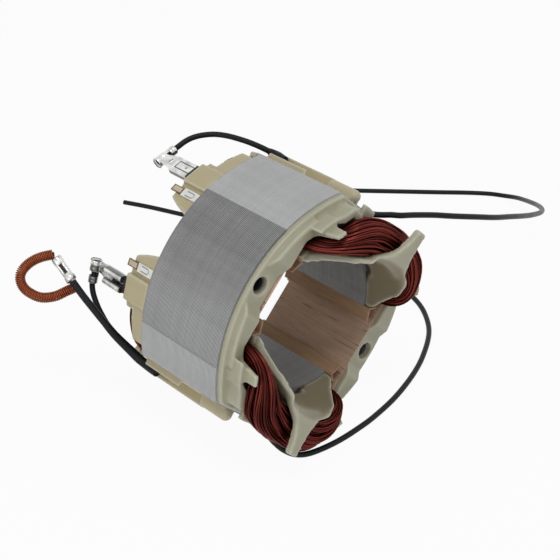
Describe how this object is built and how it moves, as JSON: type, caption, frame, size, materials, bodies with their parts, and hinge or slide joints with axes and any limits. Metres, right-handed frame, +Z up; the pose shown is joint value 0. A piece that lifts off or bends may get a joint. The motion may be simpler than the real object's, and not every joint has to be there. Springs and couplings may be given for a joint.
{
  "type": "wound stator",
  "caption": "Lens-shaped laminated field of a commutator motor with wound poles, moulded end frames, slot liners, flag terminals, free field leads and a looped spring contact.",
  "frame": {"origin": "centre of the rotor bore at half the length of the lamination stack", "axes": "-Y along the bore axis, out of the front end frame; +Z up from the bench that the stator lies on"},
  "size_m": [0.277, 0.2255, 0.0976],
  "materials": {
    "stack_steel": "satin, with the edges of the sheets showing",
    "front_plastic": "moulded, satin",
    "rear_plastic": "moulded, satin",
    "enamelled_wire": "varnished enamel",
    "pressboard": "pressed board, matte",
    "wedge_board": "pressed board, matte",
    "tinned_brass": "tin plated",
    "lead_rubber": "satin",
    "spring_wire": "bare copper alloy"
  },
  "bodies": {
    "root": {"lamination_stack": "stack_steel", "front_end_frame": "front_plastic", "rear_end_frame": "rear_plastic", "upper_field_coil": "enamelled_wire", "lower_field_coil": "enamelled_wire", "left_slot_liner": "pressboard", "right_slot_liner": "pressboard", "upper_left_wedge": "wedge_board", "upper_right_wedge": "wedge_board", "lower_left_wedge": "wedge_board", "lower_right_wedge": "wedge_board", "upper_solder_tab": "tinned_brass", "lower_solder_tab": "tinned_brass", "upper_blade": "tinned_brass", "lower_blade": "tinned_brass", "upper_flag_receptacle": "tinned_brass", "lower_flag_receptacle": "tinned_brass", "upper_sleeve": "lead_rubber", "lower_sleeve": "lead_rubber", "upper_flag_lead": "lead_rubber", "lower_flag_lead": "lead_rubber", "brush_lead": "lead_rubber", "brush_crimp": "tinned_brass", "brush_spring": "spring_wire", "upper_field_lead": "lead_rubber", "lower_field_lead": "lead_rubber"}
  },
  "joints": []
}
